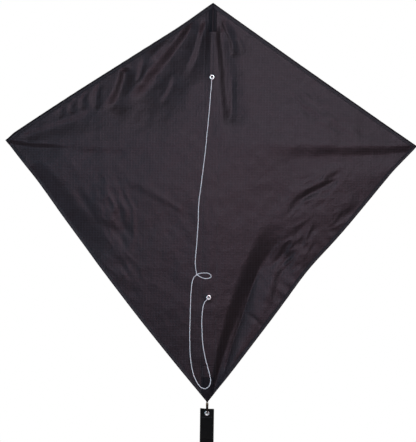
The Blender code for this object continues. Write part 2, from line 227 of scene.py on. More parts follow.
def rings(path, radii, sides=24, lobes=None):
    """Circles round a path. lobes is a function of (angles, distances) that scales the radius."""
    angles = np.linspace(0, 2 * np.pi, sides, endpoint=False)
    steps = np.linalg.norm(np.diff(path, axis=0), axis=1)
    distance = np.concatenate(([0], np.cumsum(steps)))
    radius = np.broadcast_to(radii, len(path))[:, None] * np.ones(sides)
    if lobes:
        radius = radius * lobes(angles[None, :], distance[:, None])
    first, second = ring_frames(path)
    spokes = np.cos(angles)[None, :, None] * first[:, None] + np.sin(angles)[None, :, None] * second[:, None]
    return path[:, None] + radius[..., None] * spokes


def turned(shape, profile, start, direction, sides=48, finish=0, closed=False):
    """A profile of (distance along, radius) turned about the line from start in a direction."""
    turn = Vector(direction).to_track_quat("Z", "Y").to_matrix()
    angles = np.linspace(0, 2 * np.pi, sides, endpoint=False)
    along, radius = np.array(profile, float).T
    local = np.stack(
        (
            radius[:, None] * np.cos(angles),
            radius[:, None] * np.sin(angles),
            along[:, None] * np.ones(sides),
        ),
        -1,
    )
    points = local @ np.array(turn).T + np.array(start)
    if closed:
        shape.grid(points, around=True, along=True, finish=finish)
    else:
        shape.tube(points, finish)


def rounded(length, radius, blunt=0.5, steps=6):
    """The profile of a rod with rounded ends, as (distance along, radius) pairs."""
    nose = radius * blunt
    arc = np.linspace(0, np.pi / 2, steps)
    start = [(nose - nose * math.cos(a), radius - nose + nose * math.sin(a)) for a in arc]
    return start + [(length - along, r) for along, r in reversed(start)]


# The outline of the sail


def scallop(side, upper, share):
    """How far an edge stands inside the straight line between its corners.

    share runs from the wing tip to the nose or the tail."""
    if upper and side < 0:
        return -3.2 * MM * np.cos(3.27 * (share - 0.2)) * smooth(share, 0, 0.05) * smooth(share, 1, 0.8)
    if upper:
        return 0 * share
    if side < 0:
        return MM * (1.7 * np.exp(-(((share - 0.15) / 0.1) ** 2)) - 5.6 * np.sin(np.pi * share**1.4))
    shoulder = smooth(share, 0, 0.12) * smooth(share, 0.95, 0.62)
    return MM * (4.5 * shoulder + 5.0 * np.exp(-(((share - 0.5) / 0.11) ** 2)))


def edge(side, upper, share, inset=0.0):
    """Points (x, z) on one of the four edges, or at a distance inside it."""
    share = np.asarray(share, float)
    tip = np.array((side * HALF_SPAN, 0))
    end = np.array((0, NOSE_Z if upper else TAIL_Z))
    along = (end - tip) / np.linalg.norm(end - tip)
    inward = np.array((-side * abs(along[1]), -np.sign(end[1]) * abs(along[0])))
    straight = tip + share[:, None] * (end - tip)
    return straight + (inset + scallop(side, upper, share))[:, None] * inward


def edge_x(side, z, inset):
    """How far out from the spine the sail reaches at each height."""
    share = np.linspace(0, 1, 600)
    reach = []
    for upper in (True, False):
        x, height = edge(side, upper, share, inset).T
        order = np.argsort(height)
        reach.append(np.interp(z, height[order], abs(x)[order]))
    return np.minimum(*reach)


# The cloth's relief, in millimetres: positive towards the flyer


class Fold:
    """A ridge, or a trough where height is negative, along a line of (x, z) points.

    Its half width runs from the first width to the second, and it fades over the shares at its
    ends. power is 2 for a round one, and nearer 1 for a sharp crease."""

    def __init__(self, points, height, widths, fades=(0.3, 0.3), power=2.0):
        self.line = curve(points, 6.0)
        self.height = height
        self.widths = widths
        self.fades = fades
        self.power = power

    def profile(self, offset, width):
        return np.exp(-(abs(offset / width) ** self.power))

    def at(self, x, z):
        best = np.full(x.shape, 1e9)
        offset = np.zeros(x.shape)
        share = np.zeros(x.shape)
        last = len(self.line) - 1
        for i, (a, b) in enumerate(zip(self.line, self.line[1:])):
            run = b - a
            t = np.clip(((x - a[0]) * run[0] + (z - a[1]) * run[1]) / (run @ run), 0, 1)
            dx, dz = x - a[0] - t * run[0], z - a[1] - t * run[1]
            distance = np.hypot(dx, dz)
            nearer = distance < best
            best = np.where(nearer, distance, best)
            right = np.sign(run[1] * dx - run[0] * dz)
            offset = np.where(nearer, distance * right, offset)
            share = np.where(nearer, (i + t) / last, share)
        width = self.widths[0] + (self.widths[1] - self.widths[0]) * share
        ends = smooth(share, 0, self.fades[0]) * smooth(share, 1, 1 - self.fades[1])
        return self.height * ends * self.profile(offset, width)


class Flank(Fold):
    """A slope as wide as its widths, down to the right as seen by someone going along the line,
    after which the cloth rises again over a stretch that is reach times as wide."""

    def __init__(self, points, drop, widths, reach=1.5, fades=(0.3, 0.3)):
        super().__init__(points, -drop, widths, fades)
        self.reach = reach

    def profile(self, offset, width):
        down = smooth(offset, -0.6 * width, 0.6 * width)
        return down * smooth(offset, width * (0.5 + self.reach), 0.3 * width)


class Crinkle:
    """An oval patch of sharp little creases that mostly run along one angle, in degrees."""

    def __init__(self, centre, radii, angle, size, height, seed):
        self.centre = centre
        self.radii = radii
        self.angle = math.radians(angle)
        self.size = size
        self.height = height
        self.seed = seed

    def at(self, x, z):
        dx, dz = x - self.centre[0], z - self.centre[1]
        along = dx * math.cos(self.angle) + dz * math.sin(self.angle)
        across = dz * math.cos(self.angle) - dx * math.sin(self.angle)
        far = (along / self.radii[0]) ** 2 + (across / self.radii[1]) ** 2
        near = far < 1
        total = np.zeros(x.shape)
        creases = 0.35 - abs(fractal(along[near] / 2.2, across[near], self.size, self.seed, 2))
        total[near] = self.height * creases * (1 - far[near]) ** 1.5
        return total


FOLDS = (
    # From the nose down the left
    Flank([(-170, 48), (-121, 108), (-80, 158), (-50, 200), (-38, 224)], 5.2, (24, 11), 4.2, (0.3, 0.1)),
    Fold([(-120, 142), (-98, 165), (-76, 186)], 1.4, (8, 6)),
    Flank([(-52, 116), (-38, 142), (-29, 168), (-20, 206), (-15, 226)], 3.0, (13, 8), 3.0, (0.3, 0.15)),
    Flank([(-100, 62), (-80, 91), (-68, 126)], 1.5, (9, 7), 4.0, (0.4, 0.3)),
    Flank([(-134, 74), (-112, 100), (-98, 122)], 0.9, (9, 8), 3.0, (0.4, 0.3)),
    # By the upper left edge
    Flank([(-192, 56), (-177, 79), (-167, 105), (-160, 138)], 4.4, (16, 10), 2.6, (0.25, 0.15)),
    Flank([(-141, 104), (-133, 122), (-128, 150)], 1.8, (8, 6), 1.6),
    Flank([(-208, 54), (-212, 78), (-206, 106)], 2.3, (9, 6), 1.4),
    Flank([(-231, 54), (-235, 72), (-230, 90)], 1.9, (7, 5), 1.4),
    Flank([(-250, 46), (-255, 60), (-250, 76)], 1.6, (6, 5), 1.4),
    Flank([(-270, 38), (-275, 48), (-272, 62)], 1.3, (6, 5), 1.4),
    Flank([(-345, 7), (-278, 31), (-205, 57)], 1.3, (6, 12), 3.0, (0.1, 0.3)),
    # Below the spreader
    Flank([(-364, -2), (-330, -7), (-300, -9), (-262, -10), (-236, -11)], 3.6, (7.5, 5.5), 5.0, (0.01, 0.75)),
    Flank([(60, -15), (128, -15), (214, -12), (300, -9), (366, -3)], 2.6, (24, 12), 3.0, (0.5, 0.04)),
    Flank([(-270, -14), (-200, -16), (-110, -16)], 1.2, (12, 14), 2.0, (0.3, 0.5)),
    # On the lower left
    Flank([(-335, -30), (-282, -84), (-230, -146), (-170, -222)], 7.5, (32, 36), 2.4, (0.2, 0.35)),
    Flank([(-245, -72), (-205, -130), (-176, -185)], 1.6, (12, 14), 2.6, (0.3, 0.4)),
    Fold([(-46, -124), (-96, -94), (-162, -58)], 0.8, (4, 10), (0.12, 0.4)),
    Crinkle((-170, -128), (95, 46), -68, 24, 3.4, 21),
    Crinkle((-150, -235), (70, 40), -55, 22, 1.8, 22),
    # From the nose down the right
    Flank([(29, 14), (21, 90), (17, 131), (13, 166), (6, 214)], 3.5, (14, 10), 3.0, (0.2, 0.1)),
    Flank([(35, 150), (33, 178), (25, 198), (13, 222)], 1.9, (7, 5), 2.6, (0.25, 0.15)),
    Flank([(31, 32), (33, 80), (32, 128)], 1.4, (7, 6), 1.8, (0.3, 0.3)),
    Fold([(44, 196), (52, 178), (58, 158)], -0.8, (4, 4)),
    # On the right
    Crinkle((175, 68), (80, 34), -38, 22, 1.8, 23),
    Crinkle((240, 25), (60, 26), -25, 18, 1.2, 24),
    Flank([(136, -122), (158, -95), (204, -69), (240, -36)], 2.0, (9, 10), 2.6, (0.2, 0.3)),
    Crinkle((188, -84), (80, 40), 34, 19, 3.0, 25),
    Crinkle((152, -188), (75, 42), 52, 20, 3.6, 26),
    Crinkle((235, -128), (50, 30), 45, 18, 2.2, 27),
    # From the tail corner up the right
    Flank(
        [(7, -452), (17, -400), (36, -330), (64, -250), (96, -185), (118, -138)],
        6.6, (6, 40), 1.8, (0.06, 0.2),
    ),
    Fold([(27, -424), (42, -368), (62, -308), (84, -240), (100, -200)], -2.2, (3, 6), (0.15, 0.3), 1.3),
    Flank([(98, -310), (122, -240), (134, -176)], 2.4, (14, 14), 2.6, (0.4, 0.3)),
    Flank([(64, -300), (84, -312), (104, -330)], 1.4, (6, 6), 1.5),
    Fold([(-13, -385), (-11, -415), (-7, -448)], -1.8, (3, 2.5), (0.3, 0.3), 1.3),
)


def slack(x, z):
    """How the cloth falls back between the spars, and more so towards the middle of each edge."""
    across = np.clip(abs(x) / (HALF_SPAN / MM), 0, 1)
    up = np.clip(np.where(z > 0, z * MM / NOSE_Z, z * MM / TAIL_Z), 0, 1)
    depth = np.where(z > 0, 5.0, 6.0)
    return -depth * 4 * across * up * (1 - 0.35 * across * up)


def puckers(x, z):
    """Short waves square to an edge where its binding gathers the cloth."""
    total = np.zeros(x.shape)
    for side, upper, low, high, height, pitch, reach in (
        (-1, True, 0.20, 0.86, 0.75, 21, 26),
        (1, True, 0.10, 0.92, 0.18, 30, 16),
        (1, False, 0.26, 0.72, 0.95, 24, 34),
        (-1, False, 0.15, 0.90, 0.30, 34, 26),
    ):
        tip, end = edge(side, upper, np.array((0, 1))) / MM
        length = np.linalg.norm(end - tip)
        along = (end - tip) / length
        distance = (x - tip[0]) * along[0] + (z - tip[1]) * along[1]
        inside = abs((x - tip[0]) * along[1] - (z - tip[1]) * along[0])
        share = distance / length
        here = (x * side >= 0) & ((z > 0) == upper)
        drift = 1.7 * np.sin(distance / 47 + side) + 0.9 * np.sin(distance / 19)
        wave = np.cos(2 * np.pi * distance / pitch + drift)
        strength = smooth(share, low, low + 0.15) * smooth(share, high, high - 0.15)
        strength = strength * (0.6 + 0.4 * np.sin(distance / 31 + 2 * side))
        total += here * height * wave * strength * np.exp(-((inside / reach) ** 1.5))
    return total


def spine_lips(x, z):
    """The seam on the spine: a groove between two soft lips, and the sleeve's sewn edges."""
    reach = smooth(z, 200, 190) * smooth(z, 60, 130)
    lips = 0.42 * np.exp(-(((abs(x) - 3.4) / 1.2) ** 2))
    seam = -0.35 * np.exp(-(((x + 12.5) / 1.1) ** 2)) * smooth(z, 226, 215) * smooth(z, 130, 160)
    edges = -0.12 * np.exp(-(((abs(x) - 13.2) / 1.0) ** 2)) * smooth(z, -440, -380)
    return reach * lips + seam + edges


def eyelet_dimples(x, z):
    total = np.zeros(x.shape)
    for node, depth, size in (("upper_eyelet", 0.25, 7), ("lower_eyelet", 0.7, 9)):
        centre = middle(node) / MM
        distance = np.hypot(x - centre.x, z - centre.z)
        total += depth * np.cos(distance / size * 2.2) * np.exp(-((distance / size / 1.6) ** 2))
    return total


def relief(x, z):
    """How far the cloth stands behind its flat plane at each place, in metres."""
    x, z = np.asarray(x) / MM, np.asarray(z) / MM
    height = slack(x, z) + puckers(x, z)
    for fold in FOLDS:
        height += fold.at(x, z)
    height += 0.9 * fractal(x, z, 80, 1) + 0.22 * fractal(x, z, 22, 2)
    height *= 1 - np.exp(-((x / 8) ** 2))
    return -(height + spine_lips(x, z) + eyelet_dimples(x, z)) * MM


def on_cloth(x, z, lift=0.0):
    """Points on the cloth, or lift in front of it."""
    return np.stack((x, SAIL_Y + relief(x, z) - lift, z), -1)


# Materials


class Finish:
    """A material's nodes, built one at a time round its Principled shader."""

    def __init__(self, name):
        self.material = bpy.data.materials.new(name)
        self.material.use_nodes = True
        self.tree = self.material.node_tree
        self.shader = self.tree.nodes["Principled BSDF"]

    def add(self, kind, *values, **settings):
        """A node with its settings. values go to its inputs in order, and None is skipped."""
        node = self.tree.nodes.new(kind)
        for name, value in settings.items():
            setattr(node, name, value)
        for socket, value in zip(node.inputs, values):
            self.put(socket, value)
        return node

    def put(self, socket, value):
        if isinstance(value, bpy.types.NodeSocket):
            self.tree.links.new(value, socket)
        elif value is not None:
            socket.default_value = value

    def surface(self, **values):
        for name, value in values.items():
            self.put(self.shader.inputs[name.replace("_", " ").title().replace("Ior", "IOR")], value)
        return self.material

    def math(self, operation, *values):
        return self.add("ShaderNodeMath", *values, operation=operation).outputs[0]

    def cloth(self):
        return self.add("ShaderNodeUVMap", uv_map="Cloth").outputs[0]

    def place(self):
        return self.add("ShaderNodeTexCoord").outputs["Object"]

    def noise(self, where, size, detail=3.0, roughness=0.55):
        """Noise of 0 to 1 whose lumps are about size across."""
        node = self.add("ShaderNodeTexNoise")
        settings = {"Vector": where, "Scale": 1 / size, "Detail": detail, "Roughness": roughness}
        for name, value in settings.items():
            self.put(node.inputs[name], value)
        return node.outputs["Fac"]

    def noise_colour(self, where, size, amount):
        """A wandering offset of up to about amount, for bending a pattern."""
        node = self.add("ShaderNodeTexNoise")
        self.put(node.inputs["Vector"], where)
        self.put(node.inputs["Scale"], 1 / size)
        colour = node.outputs["Color"]
        return self.add("ShaderNodeVectorMath", colour, (amount,) * 3, operation="MULTIPLY").outputs[0]

    def span(self, value, low, high, start, end):
        """value from the range low..high carried to start..end."""
        return self.add("ShaderNodeMapRange", value, low, high, start, end).outputs[0]

    def mix(self, share, first, second):
        node = self.add("ShaderNodeMix", data_type="RGBA")
        self.put(node.inputs[0], share)
        self.put(node.inputs[6], first)
        self.put(node.inputs[7], second)
        return node.outputs[2]

    def bump(self, height, distance, normal=None, strength=1.0):
        node = self.add("ShaderNodeBump")
        settings = {"Strength": strength, "Distance": distance, "Height": height, "Normal": normal}
        for name, value in settings.items():
            self.put(node.inputs[name], value)
        return node.outputs[0]

    def axes(self, where):
        return self.add("ShaderNodeSeparateXYZ", where).outputs

    def ridges(self, value, pitch, width):
        """1 along evenly pitched lines that are width wide, and 0 between them."""
        saw = self.math("PINGPONG", value, pitch / 2)
        return self.span(saw, 0, width, 1, 0)


def rgb(red, green, blue):
    return (red, green, blue, 1.0)


def ripstop():
    """Coated ripstop nylon: a grid of doubled threads over a fine weave, with a dull sheen."""
    made = Finish("ripstop")
    where = made.cloth()
    u, v = made.axes(where)[:2]
    grid = made.math("MAXIMUM", made.ridges(u, 5.1 * MM, 0.55 * MM), made.ridges(v, 4.5 * MM, 0.5 * MM))
    warp = made.math("SINE", made.math("MULTIPLY", u, 2 * math.pi / (0.42 * MM)))
    weft = made.math("SINE", made.math("MULTIPLY", v, 2 * math.pi / (0.38 * MM)))
    weave = made.math("MULTIPLY", warp, weft)
    broad = made.noise(where, 0.16, 3)
    mottle = made.noise(where, 0.012, 5, 0.7)
    crease = made.noise(where, 0.006, 4, 0.6)
    warped = made.add("ShaderNodeVectorMath", where, made.noise_colour(where, 0.03, 0.012), operation="ADD")
    facets = made.add("ShaderNodeTexVoronoi", feature="SMOOTH_F1")
    made.put(facets.inputs["Vector"], warped.outputs[0])
    made.put(facets.inputs["Scale"], 1 / 0.024)
    made.put(facets.inputs["Smoothness"], 0.25)
    patches = made.span(broad, 0.35, 0.65, 0, 1)
    cloth = made.mix(patches, rgb(0.0105, 0.0075, 0.0085), rgb(0.0140, 0.0090, 0.0090))
    cloth = made.mix(made.span(mottle, 0.3, 0.75, 0, 0.45), cloth, rgb(0.0195, 0.0140, 0.0160))
    cloth = made.mix(made.math("MULTIPLY", grid, 0.55), cloth, rgb(0.038, 0.030, 0.038))
    height = made.math("ADD", made.math("MULTIPLY", grid, 0.6), made.math("MULTIPLY", weave, 0.16))
    normal = made.bump(facets.outputs["Distance"], 0.6 * MM)
    normal = made.bump(crease, 0.35 * MM, normal)
    normal = made.bump(height, 0.09 * MM, normal)
    rough = made.math("SUBTRACT", made.span(mottle, 0.3, 0.7, 0.34, 0.43), made.math("MULTIPLY", grid, 0.06))
    return made.surface(
        base_color=cloth,
        roughness=rough,
        normal=normal,
        specular_ior_level=0.2,
        specular_tint=rgb(1.0, 0.80, 0.95),
    )


def tape(name, shine):
    """Narrow woven tape: fine slanting ribs, and lighter where it is worn."""
    made = Finish(name)
    where = made.cloth()
    u, v = made.axes(where)[:2]
    ribs = made.ridges(made.math("ADD", u, v), 0.9 * MM, 0.4 * MM)
    fuzz = made.noise(where, 0.004, 4)
    worn = made.noise(where, 0.05, 3)
    cloth = made.mix(made.span(fuzz, 0.3, 0.7, 0, 1), rgb(0.007, 0.0062, 0.0085), rgb(0.0125, 0.0110, 0.0145))
    cloth = made.mix(made.span(worn, 0.5, 0.75, 0, 0.5), cloth, rgb(0.022, 0.019, 0.025))
    normal = made.bump(ribs, 0.06 * MM, made.bump(fuzz, 0.1 * MM))
    rough = made.span(fuzz, 0.3, 0.7, 0.36, 0.46)
    return made.surface(
        base_color=cloth,
        roughness=rough,
        normal=normal,
        specular_ior_level=shine,
        specular_tint=rgb(0.98, 0.86, 0.96),
    )


def thread():
    made = Finish("stitching")
    ply = made.noise(made.place(), 0.6 * MM, 2)
    cloth = made.mix(ply, rgb(0.020, 0.018, 0.024), rgb(0.060, 0.055, 0.066))
    return made.surface(base_color=cloth, roughness=0.6, normal=made.bump(ply, 0.08 * MM))


def ribbon_cloth():
    """The tail's black ribbon: fine crosswise ribs and a soft satin shine."""
    made = Finish("tail_ribbon")
    where = made.cloth()
    u, v = made.axes(where)[:2]
    ribs = made.math("SINE", made.math("MULTIPLY", v, 2 * math.pi / (0.55 * MM)))
    warp = made.math("SINE", made.math("MULTIPLY", u, 2 * math.pi / (0.35 * MM)))
    crease = made.noise(where, 0.012, 4)
    broad = made.noise(where, 0.05, 3)
    patches = made.span(broad, 0.35, 0.65, 0, 1)
    cloth = made.mix(patches, rgb(0.0035, 0.0032, 0.0032), rgb(0.0070, 0.0062, 0.0062))
    cloth = made.mix(made.span(crease, 0.55, 0.8, 0, 0.5), cloth, rgb(0.013, 0.012, 0.012))
    height = made.math("ADD", made.math("MULTIPLY", ribs, 0.7), made.math("MULTIPLY", warp, 0.3))
    normal = made.bump(height, 0.05 * MM, made.bump(crease, 0.5 * MM))
    rough = made.span(crease, 0.3, 0.7, 0.42, 0.55)
    return made.surface(base_color=cloth, roughness=rough, normal=normal, specular_ior_level=0.06)


def cord_yarn(name, dark, light, roughness):
    """Twisted cord: fine fibres, painted shade where the yarns meet with lighter crests, and a little fuzz.
    """
    made = Finish(name)
    where = made.place()
    fibres = made.noise(where, 0.35 * MM, 3, 0.7)
    soil = made.noise(where, 0.03, 2)
    # Painted shade: the colour darkens in the hollows between the yarns, found from the mesh's pointiness,
    # and lightens on the crests.
    shade_pointiness = made.add("ShaderNodeNewGeometry").outputs["Pointiness"]
    lit, raised = made.span(fibres, 0.25, 0.65, 0.45, 1), made.span(shade_pointiness, 0.42, 0.52, 0.4, 1)
    share = made.math("MULTIPLY", lit, raised)
    colour = made.mix(share, dark, light)
    colour = made.mix(made.span(soil, 0.55, 0.8, 0, 0.25), colour, dark)
    normal = made.bump(fibres, 0.12 * MM)
    return made.surface(base_color=colour, roughness=roughness, normal=normal, specular_ior_level=0.2)


def fibreglass():
    """A pultruded rod: black resin with fine glass streaks along it."""
    made = Finish("fibreglass")
    stretch = made.add("ShaderNodeVectorMath", made.place(), (0.04, 1.0, 0.04), operation="MULTIPLY")
    streaks = made.noise(stretch.outputs[0], 0.0008, 4, 0.7)
    scuffs = made.noise(made.place(), 0.01, 4)
    colour = made.mix(made.span(streaks, 0.35, 0.7, 0, 1), rgb(0.012, 0.012, 0.013), rgb(0.05, 0.05, 0.052))
    return made.surface(
        base_color=colour,
        roughness=made.span(scuffs, 0.3, 0.7, 0.22, 0.38),
        normal=made.bump(streaks, 0.06 * MM),
        coat_weight=0.3,
        coat_roughness=0.2,
    )


def vinyl():
    """Soft moulded vinyl with a faint orange-peel skin."""
    made = Finish("vinyl")
    skin = made.noise(made.place(), 0.0009, 3)
    dust = made.noise(made.place(), 0.006, 4)
    colour = made.mix(made.span(dust, 0.45, 0.8, 0, 1), rgb(0.012, 0.012, 0.012), rgb(0.045, 0.044, 0.043))
    rough = made.span(dust, 0.3, 0.7, 0.38, 0.6)
    return made.surface(base_color=colour, roughness=rough, normal=made.bump(skin, 0.08 * MM))


def nickel():
    """Plated brass: bright, with fine turning lines and small dull spots."""
    made = Finish("nickel")
    spots = made.noise(made.place(), 0.0012, 4)
    scratches = made.noise(made.place(), 0.0003, 3)
    colour = made.mix(made.span(spots, 0.45, 0.75, 0, 1), rgb(0.80, 0.77, 0.79), rgb(0.50, 0.46, 0.44))
    return made.surface(
        base_color=colour,
        metallic=1.0,
        roughness=made.span(spots, 0.3, 0.75, 0.2, 0.4),
        normal=made.bump(scratches, 0.02 * MM),
    )


RIPSTOP = ripstop()
TAPE = tape("binding_tape", 0.24)
WEBBING = tape("corner_webbing", 0.06)
THREAD = thread()
RIBBON = ribbon_cloth()
WHITE_CORD = cord_yarn("bridle_cord", rgb(0.40, 0.37, 0.42), rgb(0.86, 0.84, 0.90), 0.75)
TIE_CORD = cord_yarn("tie_cord", rgb(0.003, 0.002, 0.002), rgb(0.028, 0.013, 0.008), 0.85)
# A lighter copy of the tie cord for the knot at the top of the tail: a painted highlight.
TIE_KNOT_HIGHLIGHT = cord_yarn("tie_cord_knot_highlight", rgb(0.04, 0.022, 0.010), rgb(0.24, 0.16, 0.09), 0.8)
FIBREGLASS = fibreglass()
VINYL = vinyl()
NICKEL = nickel()


# Stitching


def stitches(shape, line, pitch=3.2 * MM, side=-1):
    """Short raised stitches along a dense line of points. side is -1 on the front, 1 behind."""
    steps = np.linalg.norm(np.diff(line, axis=0), axis=1)
    length = np.concatenate(([0], np.cumsum(steps)))
    for centre in np.arange(pitch, length[-1] - pitch / 2, pitch):
        at = centre + np.linspace(-0.39, 0.39, 5) * pitch
        path = np.stack([np.interp(at, length, axis) for axis in line.T], 1)
        path[:, 1] += side * 0.10 * MM * np.array((0, 0.8, 1, 0.8, 0))
        radii = 0.17 * MM * np.array((0.35, 0.9, 1, 0.9, 0.35))
        shape.tube(rings(path, radii, 6), 1)


# The sail

ROW = 3.0 * MM
FINE_ROW = 1.25 * MM


def wing_panel(word, side):
    """One half of the sail, from the spine to the fold of the binding, holed at the eyelets."""
    eyes = [middle(node).z for node in ("upper_eyelet", "lower_eyelet")]
    z = np.arange(TAIL_Z, NOSE_Z, ROW)
    fine = [(eye - 9 * MM, eye + 9 * MM) for eye in eyes] + [(-20 * MM, 4 * MM)]
    coarse = np.all([(z < low) | (z > high) for low, high in fine], axis=0)
    z = np.sort(np.concatenate([z[coarse]] + [np.arange(low, high, FINE_ROW) for low, high in fine]))
    reach = edge_x(side, z, 0.8 * MM)
    z, reach = z[reach > 0.5 * MM], reach[reach > 0.5 * MM]
    first = np.minimum(15 * MM, 0.8 * reach)[:, None]
    inner = first * np.concatenate(([0, 0.01], np.linspace(0, 1, 13)[1:]))
    outer = first + (reach[:, None] - first) * np.linspace(0, 1, 112)[1:]
    x = side * np.hstack((inner, outer))
    height = np.broadcast_to(z[:, None], x.shape)
    whole = away_from([(0, eye) for eye in eyes], x, height)
    shape = Shape()
    shape.grid(on_cloth(x, height), keep=whole)
    panel = shape.piece(f"sail_{word}_half", [RIPSTOP], CLOTH)
    bend(panel, word, side)
    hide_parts(f"sail_{word}", *(["sail_centre"] if side > 0 else []))


def away_from(holes, x, z):
    """The cells of a net whose corners all lie outside the eyelets' barrels."""
    clear = np.ones(x.shape, bool)
    for hole_x, hole_z in holes:
        clear &= np.hypot(x - hole_x, z - hole_z) > HOLE_CLEAR
    return clear[:-1, :-1] & clear[:-1, 1:] & clear[1:, 1:] & clear[1:, :-1]


def bend(made, word, side):
    """Bakes a piece's placement into its mesh."""
    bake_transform(made)


# Sections of the hems: inset from the edge and height off the cloth, in millimetres
UPPER_FRONT = ((7.5, 0.15), (7.3, 0.45), (6.9, 0.55), (5.9, 0.55), (5.5, 0.40), (5.2, 0.18), (4.9, 0.40))
UPPER_FRONT += ((4.5, 0.58), (3.6, 0.62), (2.9, 0.58), (2.3, 0.30), (1.5, -0.20), (0.8, -0.55), (0.3, -0.75))
LOWER_FRONT = ((6.4, 0.15), (6.2, 0.42), (5.6, 0.50), (5.0, 0.46), (4.7, 0.20), (4.3, 0.04), (3.8, 0.20))
LOWER_FRONT += ((3.5, 0.46), (3.0, 0.56), (1.6, 0.56), (0.7, 0.48), (0.3, 0.25), (0.15, 0.05))
UPPER_BACK = ((0.0, -0.90), (0.4, -1.08), (1.5, -0.85), (3.0, -0.66))
UPPER_BACK += ((5.2, -0.42), (7.2, -0.45), (7.5, -0.20))
LOWER_BACK = ((0.0, -0.20), (0.4, -0.42), (1.5, -0.60), (3.3, -0.62))
LOWER_BACK += ((4.4, -0.42), (6.1, -0.45), (6.4, -0.20))


def binding(word, side, upper):
    """Tape folded over one edge of the sail and sewn through."""
    where = "upper" if upper else "lower"
    end_z = NOSE_Z if upper else TAIL_Z
    length = math.hypot(HALF_SPAN, end_z)
    share = np.linspace(0, 1, round(length / (2.5 * MM)))
    section = UPPER_FRONT + UPPER_BACK if upper else LOWER_FRONT + LOWER_BACK
    seam = 5.2 if upper else 4.4
    columns = [hem_line(side, upper, share, inset * MM, height * MM) for inset, height in section]
    shape = Shape()
    shape.grid(np.stack(columns, 1))
    dense = np.linspace(0.012, 0.988, 900)
    for face, height in ((1, 0.12), (-1, 0.42)):
        line = hem_line(side, upper, dense, seam * MM, face * (height * MM + CLOTH / 2))
        stitches(shape, line, side=-face)
    tape_piece = shape.piece(f"{word}_{where}_hem", [TAPE, THREAD], CLOTH)
    bend(tape_piece, word, side)
    corner = {("left", True): ["nose_binding"], ("right", False): ["tail_binding"]}.get((word, upper), [])
    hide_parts(f"{word}_{where}_binding", *corner)


def hem_line(side, upper, share, inset, height):
    """A line along an edge, mitred at both corners, at a height off the cloth."""
    end_z = NOSE_Z if upper else TAIL_Z
    length = math.hypot(HALF_SPAN, end_z)
    inner_tip = np.array((side * (HALF_SPAN - inset * length / abs(end_z)), 0))
    inner_end = np.array((0, end_z - np.sign(end_z) * inset * length / HALF_SPAN))
    straight = edge(side, upper, share) - np.array((side * HALF_SPAN, 0)) * (1 - share)[:, None]
    straight -= np.array((0, end_z)) * share[:, None]
    line = straight + inner_tip * (1 - share)[:, None] + inner_end * share[:, None]
    points = on_cloth(line[:, 0], line[:, 1])
    points[:, 1] -= height
    return points


def patch(name, node):
    """The doubling on the front of a corner, with turned edges and a pleat down its middle.

    It is webbing, apart from a sailcloth stripe at the nose and sailcloth above the tail's corner."""
    low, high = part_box(node)
    at_tail = node == "tail_patch"
    if at_tail:
        low.z = TAIL_Z + 1.2 * MM
    x = np.linspace(low.x, high.x, 31)
    z = np.linspace(low.z, high.z, 40)
    grid_x, grid_z = np.meshgrid(x, z)
    taper = np.ones(len(z))
    pleat = 0.1 if at_tail else 0.55
    if at_tail:
        taper = np.clip((z - TAIL_Z) * HALF_SPAN / -TAIL_Z / high.x, 0, 1)
    grid_x = grid_x * taper[:, None]
    rim = np.minimum(
        np.minimum(grid_z - low.z, high.z - grid_z),
        high.x * taper[:, None] - abs(grid_x),
    )
    lift = CLOTH + 0.3 * MM * smooth(rim, 0, 1.2 * MM) - 0.12 * MM * smooth(rim, 2.4 * MM, 1.6 * MM)
    over_hem = 0.85 * MM * smooth(grid_z, TAIL_Z + 26 * MM, TAIL_Z + 16 * MM)
    lift = lift + over_hem * at_tail
    crest = pleat * MM * np.exp(-((grid_x / (0.9 * MM)) ** 2))
    shape = Shape()
    if at_tail:
        sailcloth = grid_z[:-1, :-1] > TAIL_Z + 44 * MM
    else:
        sailcloth = abs(grid_x[:-1, :-1] + grid_x[:-1, 1:]) < 2.4 * MM
    shape.grid(on_cloth(grid_x, grid_z, lift + crest), keep=~sailcloth)
    shape.grid(on_cloth(grid_x, grid_z, lift + crest), keep=sailcloth, finish=2)
    inner = high.x - 1.6 * MM
    height = np.linspace(low.z + (18 if at_tail else 2) * MM, high.z - 2 * MM, 200)
    for across in (-inner, inner):
        squeeze = np.interp(height, z, taper)
        stitches(shape, on_cloth(across * squeeze, height, CLOTH + 0.3 * MM))
    made = shape.piece(name, [WEBBING, THREAD, RIPSTOP], CLOTH)
    settle(made, "keel", "binding_tape", node)


# Behind the sail


def arch(across, inner, crown, base):
    """Heights behind the cloth of a strip that is flat outside and arched over a rod."""
    outer = inner * 1.35
    bridge = np.where(
        abs(across) < inner,
        crown + np.sqrt(np.clip(inner**2 - across**2, 0, None)),
        base + (crown - base) * smooth(abs(across), outer * 1.25, inner),
    )
    return np.where(abs(across) > outer * 1.25, base, bridge)


